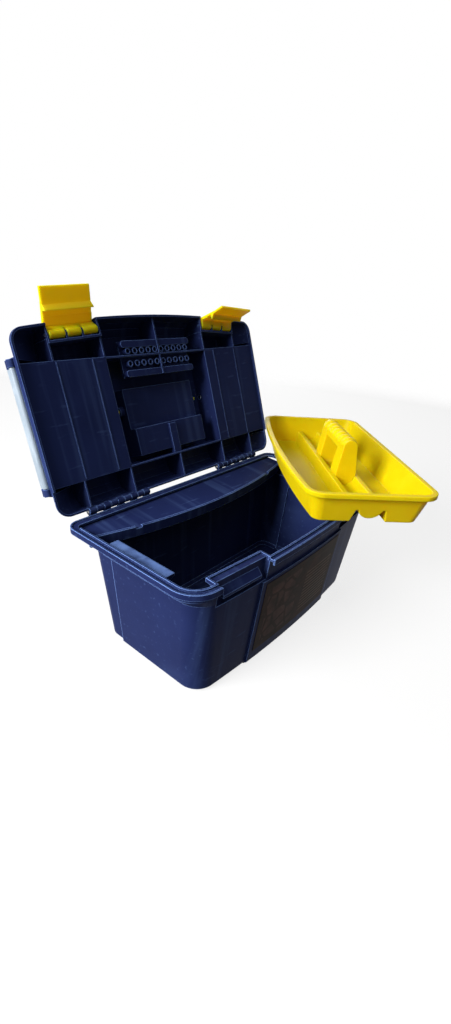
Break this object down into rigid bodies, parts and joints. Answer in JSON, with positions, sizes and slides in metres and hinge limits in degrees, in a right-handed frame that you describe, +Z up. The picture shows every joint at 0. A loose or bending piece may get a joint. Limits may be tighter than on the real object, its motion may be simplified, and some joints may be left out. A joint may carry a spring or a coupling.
{
  "type": "plastic tool box",
  "caption": "Hinged plastic tool box with a lift-out tray, snap latches, bit racks, a folding carry handle and covered organiser wells in its lid.",
  "frame": {"origin": "centre of the flat base, on the surface it stands on", "axes": "+Z up, +X along the length to the right, -Y towards the latched front"},
  "size_m": [0.5481, 0.3933, 0.3862],
  "materials": {
    "navy_plastic": "fine-grained navy injection-moulded polypropylene",
    "yellow_plastic": "satin yellow injection-moulded polypropylene",
    "clear_plastic": "frosted clear polypropylene",
    "label_film": "dark printed label film",
    "pin_steel": "drawn steel wire"
  },
  "bodies": {
    "case": {"case_body": "navy_plastic", "front_label": "label_film", "hinge_pin_right": "pin_steel", "hinge_pin_left": "pin_steel"},
    "lid": {"lid_shell": "navy_plastic", "latch_pin_right": "pin_steel", "latch_pin_left": "pin_steel", "bit_rack_front": "navy_plastic", "bit_rack_rear": "navy_plastic"},
    "latch_left": {"latch_left": "yellow_plastic"},
    "latch_right": {"latch_right": "yellow_plastic"},
    "carry_handle": {"carry_handle": "yellow_plastic"},
    "cover_left": {"organiser_cover_left": "clear_plastic"},
    "cover_right": {"organiser_cover_right": "clear_plastic"},
    "tray": {"tray": "yellow_plastic"}
  },
  "joints": [
    {"name": "lid_hinge", "type": "hinge", "parent": "case", "child": "lid", "pos_m": [0, 0.1115, 0.152], "axis": [1, 0, 0], "range_deg": [0, 109.6]},
    {"name": "latch_left_hinge", "type": "hinge", "parent": "lid", "child": "latch_left", "pos_m": [-0.1195, 0.17742, 0.33711], "axis": [0.997, 0.026, 0.073], "range_deg": [-36, 64]},
    {"name": "latch_right_hinge", "type": "hinge", "parent": "lid", "child": "latch_right", "pos_m": [0.1195, 0.17742, 0.33711], "axis": [0.997, -0.026, -0.073], "range_deg": [-94, 6]},
    {"name": "handle_hinge", "type": "hinge", "parent": "lid", "child": "carry_handle", "pos_m": [0, 0.16944, 0.24017], "axis": [1, 0, 0], "range_deg": [-19.6, 75.4]},
    {"name": "cover_left_hinge", "type": "hinge", "parent": "lid", "child": "cover_left", "pos_m": [-0.196, 0.15028, 0.2454], "axis": [0, 0.3355, 0.9421], "range_deg": [0, 85]},
    {"name": "cover_right_hinge", "type": "hinge", "parent": "lid", "child": "cover_right", "pos_m": [0.196, 0.15028, 0.2454], "axis": [0, -0.3355, -0.9421], "range_deg": [0, 85]},
    {"name": "tray_lift_off", "type": "slide", "parent": "case", "child": "tray", "axis": [0.7022, -0.712, 0], "range_m": [0, 0.171]}
  ],
  "couplings": [
    {"joint": "tray_lift_off", "follows": "lid_hinge", "m_per_rad": 0.088871}
  ]
}
